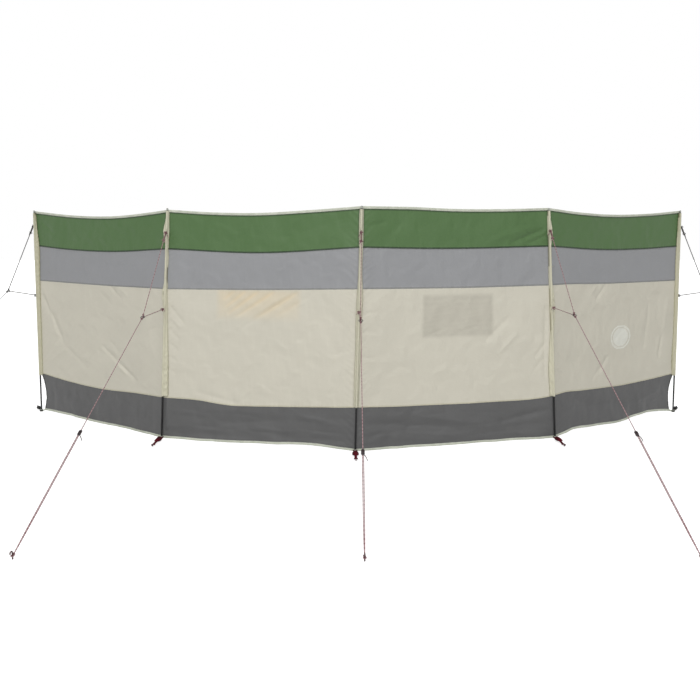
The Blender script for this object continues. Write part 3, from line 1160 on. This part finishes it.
ring_steel = plated_steel("plated_ring_steel", paint(120, 118, 116), paint(60, 58, 58))
for k in range(pole_count):
    out = unit((ring_centres[k] - feet[k]) * [1, 1, 0])
    turn = np.linspace(0, 2 * np.pi, 49)
    along = unit(main_lines[k][1] - main_lines[k][0])
    level = np.cross(out, [0, 0, 1.0])
    path = ring_centres[k] + ring_radius * (np.cos(turn)[:, None] * level + np.sin(turn)[:, None] * along)
    weld = 1 + 0.22 * np.exp(-((turn - 1.1) / 0.12) ** 2)
    patch = (tube(path, ring_wire * weld, 16, np.cross(level, along)), None, None)
    fit(make_piece(f"welded_ring_{k + 1}", [patch], ring_steel, True, True), "guy_rings")

# ---------------------------------------------------------------- Line sliders
# Cast plastic sliders that grip the main line. The cord runs through each from
# end to end, and three darker turns of it cross the face.
slider_plastic = moulded_plastic("oxblood_slider_plastic", paint(24, 10, 13), 0.45)
wrap_cord = braided("dark_fleck_cord", paint(58, 36, 40), paint(26, 14, 17), 0.5)
for k in range(pole_count):
    start, end = main_lines[k]
    centre = middle_of(near_pole("line_sliders", k))
    ahead = unit(end - start)
    centre = start + ahead * ((centre - start) @ ahead)
    across = unit(np.cross(ahead, [0, 0, 1.0]))
    rise = np.cross(across, ahead)
    t = np.linspace(-1, 1, 41)[:, None]
    turn = np.linspace(0, 2 * np.pi, 32, endpoint=False)[None, :]
    rounded = np.sqrt(np.maximum(1 - np.abs(t) ** 7, 0.02))
    waist = 0.80 + 0.20 * np.abs(np.sin(1.35 * np.pi * t)) ** 1.2
    wide = slider_half[1] * waist * rounded
    thick = slider_half[0] * (0.86 + 0.14 * np.cos(3 * np.pi * t)) * rounded
    soft = (np.abs(np.cos(turn)) ** 3 + np.abs(np.sin(turn)) ** 3) ** (-1 / 3)
    points = (centre + (t * slider_half[2] * 0.98)[..., None] * ahead
              + (wide * soft * np.cos(turn))[..., None] * across
              + (thick * soft * np.sin(turn))[..., None] * rise)
    body = make_piece(f"line_slider_{k + 1}", [(points, None, None)], slider_plastic, True, True)
    wraps = []
    for at in (-0.5, -0.04, 0.42):
        angle = np.linspace(0, 2 * np.pi, 41)[:, None]
        path = (centre + ahead * slider_half[2] * (at + 0.10 * np.sin(angle))
                + across * (slider_half[1] * 0.92) * np.cos(angle)
                + rise * (slider_half[0] + 0.0006) * np.sin(angle))
        wraps.append(cord_patch(path, rope_radius * 0.9, 8, side=ahead))
    tail_side = across if across[0] > 0 else -across
    tail_start = centre + ahead * slider_half[2] * 0.8 + tail_side * 0.006
    wraps.append(loose_tail(tail_start, ahead, tail_length, tail_side))
    wrap = make_piece(f"slider_cord_{k + 1}", wraps, wrap_cord, True, True)
    fit(body, "line_sliders")
    fit(wrap, "line_sliders")

# ---------------------------------------------------------------- Pegs
# Steel wire pegs with a hooked head, dark red at the three windward poles and
# black at the ends. Only the heads stand out of the ground.
hook_radius = 0.006


def hook_path(foot, out, height, reach, lip):
    """A peg head: up from the ground, a quarter turn, along the top, a quarter turn and down
    by the lip."""
    turn = np.linspace(0, np.pi / 2, 9)
    top = height - wire_radius
    shaft = [(0, up) for up in np.linspace(0.0008, top - hook_radius, 4)[:-1]]
    first = [(hook_radius * (1 - math.cos(a)), top - hook_radius * (1 - math.sin(a))) for a in turn]
    far = reach - wire_radius - wire_radius
    second = [(far - hook_radius * (1 - math.sin(a)), top - hook_radius * (1 - math.cos(a))) for a in turn]
    flat = np.array(shaft + first + second + [(far, top - lip)])
    return foot * [1, 1, 0] + flat[:, :1] * out + flat[:, 1:] * np.array([0, 0, 1.0])


def painted_steel(name, colour, bare):
    """Painted steel wire: glossy paint, chipped to bare metal in small spots."""
    material, tree, shader = finish(name)
    marks = use(tree, uneven, {"Size": 0.006, "Grain": 0.0008})
    chip = ramp(tree, marks["Drift"], 0.66, 0.70)
    coloured(tree, shader, blended(tree, chip, colour, bare), ramp(tree, marks["Fine"], 0.3, 0.7, 0.3, 0.45))
    tree.links.new(chip, shader.inputs["Metallic"])
    bumped(tree, shader, calc(tree, "SUBTRACT", marks["Fine"], chip), 0.0001)
    return material


red_steel = painted_steel("dark_red_painted_steel", paint(58, 8, 18), paint(104, 96, 94))
black_steel = painted_steel("black_painted_steel", paint(16, 15, 14), paint(90, 88, 86))
for node, label in (("guy_pegs", "guy_peg"), ("foot_pegs", "foot_peg")):
    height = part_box(node)[1].z
    for k in range(pole_count):
        foot, out = peg_place(node, k)
        reach = float(np.ptp((near_pole(node, k) - foot) @ out))
        path = hook_path(foot, out, height, reach, reach / 2 - wire_radius)
        patch = (tube(path, wire_radius * 0.95, 16, np.cross(out, [0, 0, 1.0])), None, None)
        steel = red_steel if k in windward else black_steel
        fit(make_piece(f"{label}_{k + 1}", [patch], steel, True, True), node)

# ---------------------------------------------------------------- Foot straps
# Doubled webbing from each foot cup to its own peg: a wide folded tab sewn round
# the cup, a narrow run, and a flared loop at the end that the peg goes through.
strap_wide, strap_narrow, strap_end = 0.036, 0.015, 0.024
strap_thickness = 0.0028
strap_tab = (0.032, 0.108)
collar_radius, collar_height, collar_thickness = 0.0118, 0.007, 0.0022
red_webbing = webbing("dark_red_webbing", paint(88, 7, 24), paint(52, 4, 14), rib=0.0022)
black_webbing = webbing("black_webbing", paint(20, 19, 18), paint(10, 10, 9), rib=0.0022)
for k in range(pole_count):
    foot, out = peg_place("foot_pegs", k)
    spots = near_pole("foot_straps", k)
    level = float(spots[:, 2].mean())
    sideways = np.cross([0, 0, 1.0], out)
    near, far = cup_radius + 0.001, float(np.linalg.norm((foot - feet[k])[:2])) - wire_radius - 0.0006
    along = np.linspace(near, far, 48)[None, :]
    share = (along - near) / (far - near)
    tab = np.clip((along - strap_tab[0]) / 0.02, 0, 1) * np.clip((strap_tab[1] - along) / 0.02, 0, 1)
    flare = np.clip((along - far + 0.018) / 0.010, 0, 1)
    tab_width = (strap_wide - strap_narrow) * hump(tab / 2) * (1.0 if k in windward else 0.6)
    width = strap_narrow + tab_width + (strap_end - strap_narrow) * hump(flare / 2)
    across = np.linspace(-0.5, 0.5, 9)[:, None]
    crown = (0.0012 * (1 - (2 * across) ** 2) + 0.0016 * np.sin(share * 9.0 + k) * np.sin(np.pi * share)
             + 0.014 * hump(tab / 2) * (1 - (2 * across) ** 2))
    spread = across * width
    points = (feet[k] * [1, 1, 0] + along[..., None] * out + spread[..., None] * sideways
              + (level + crown)[..., None] * np.array([0, 0, 1.0]))
    strap_webbing = red_webbing if k in windward else black_webbing
    strap = make_piece(f"foot_strap_{k + 1}", [(points, flat_places(along, spread), None)], strap_webbing)
    turn = np.linspace(0, 2 * np.pi, 40, endpoint=False)[None, :]
    round_cup = np.stack([np.cos(turn), np.sin(turn)], -1) * collar_radius
    rise = np.linspace(-0.5, 0.5, 5)[:, None] * collar_height
    wrap = np.concatenate([np.broadcast_to(round_cup, (5, 40, 2)),
                           np.broadcast_to((level + rise)[..., None], (5, 40, 1))], -1)
    patch = (wrap + feet[k] * [1, 1, 0], flat_places(turn * collar_radius, rise), None)
    collar = make_piece(f"strap_collar_{k + 1}", [patch], strap_webbing, closed=True)
    for piece, thickness in ((strap, strap_thickness), (collar, collar_thickness)):
        thicken(piece, thickness)
        fit(piece, "foot_straps")

# ---------------------------------------------------------------- Floor and light
# A plain white studio floor, a white surround for the lens and for reflections,
# and soft light: an even dome, two low lamps in front to the left and the right, one
# from above, one from behind, and a broad panel over the lens.
dome_light = 0.23
lens_lamp_size = (2.4, 1.0)
lens_lamp_power = 53.0
lens_lamp_place = (-0.1, -4.6, 2.1)
lens_lamp_tilt = 74
# Each lamp's name, strength, and in degrees its tilt off straight down, heading and spread
lamps = (("left_lamp", 0.50, 78, -28, 36), ("right_lamp", 0.41, 78, 24, 36),
         ("top_lamp", 1.25, 34, -5, 22), ("back_lamp", 1.4, 50, 180, 50))


def looked_at(tree):
    """1 where a ray from the lens meets the surface, straight or by a reflection or through
    something clear, and 0 where the surface only lights others."""
    seen = add(tree, "LightPath").outputs
    return calc(tree, "MAXIMUM", calc(tree, "MAXIMUM", seen["Is Camera Ray"], seen["Is Glossy Ray"]),
                seen["Is Transmission Ray"])


floor_colour = 0.55
floor_glow = 0.72
floor_mesh = bpy.data.meshes.new("floor")
floor_mesh.from_pydata([(-30, -30, 0), (30, -30, 0), (30, 30, 0), (-30, 30, 0)], [], [(0, 1, 2, 3)])
floor = bpy.data.objects.new("floor", floor_mesh)
scene.collection.objects.link(floor)
floor_paint, tree, shader = finish("studio_floor")
shader.inputs["Base Color"].default_value = (floor_colour, floor_colour, floor_colour, 1.0)
shader.inputs["Roughness"].default_value = 0.9
glow = blended(tree, looked_at(tree), (0.0, 0.0, 0.0, 1.0), (floor_glow, floor_glow, floor_glow, 1.0))
tree.links.new(glow, shader.inputs["Emission Color"])
shader.inputs["Emission Strength"].default_value = 1.0
floor_mesh.materials.append(floor_paint)

world = bpy.data.worlds.new("studio")
scene.world = world
world.use_nodes = True
tree = world.node_tree
sky = tree.nodes["Background"]
sky.inputs["Color"].default_value = (1.0, 1.0, 1.0, 1.0)
extra = calc(tree, "MULTIPLY", looked_at(tree), 1 - dome_light)
tree.links.new(calc(tree, "ADD", extra, dome_light), sky.inputs["Strength"])

for name, strength, tilt, heading, spread in lamps:
    lamp = bpy.data.lights.new(name, "SUN")
    lamp.energy = strength
    lamp.angle = math.radians(spread)
    lamp_object = bpy.data.objects.new(name, lamp)
    lamp_object.rotation_euler = (math.radians(tilt), 0.0, math.radians(heading))
    scene.collection.objects.link(lamp_object)

# The broad lamp over the lens, aimed at the wall's middle
lens_lamp = bpy.data.lights.new("lens_lamp", "AREA")
lens_lamp.shape = "RECTANGLE"
lens_lamp.size, lens_lamp.size_y = lens_lamp_size
lens_lamp.energy = lens_lamp_power
lens_lamp_object = bpy.data.objects.new("lens_lamp", lens_lamp)
lens_lamp_object.location = lens_lamp_place
lens_lamp_object.rotation_euler = (math.radians(lens_lamp_tilt), 0.0, 0.0)
scene.collection.objects.link(lens_lamp_object)

scene.view_settings.view_transform = "Standard"
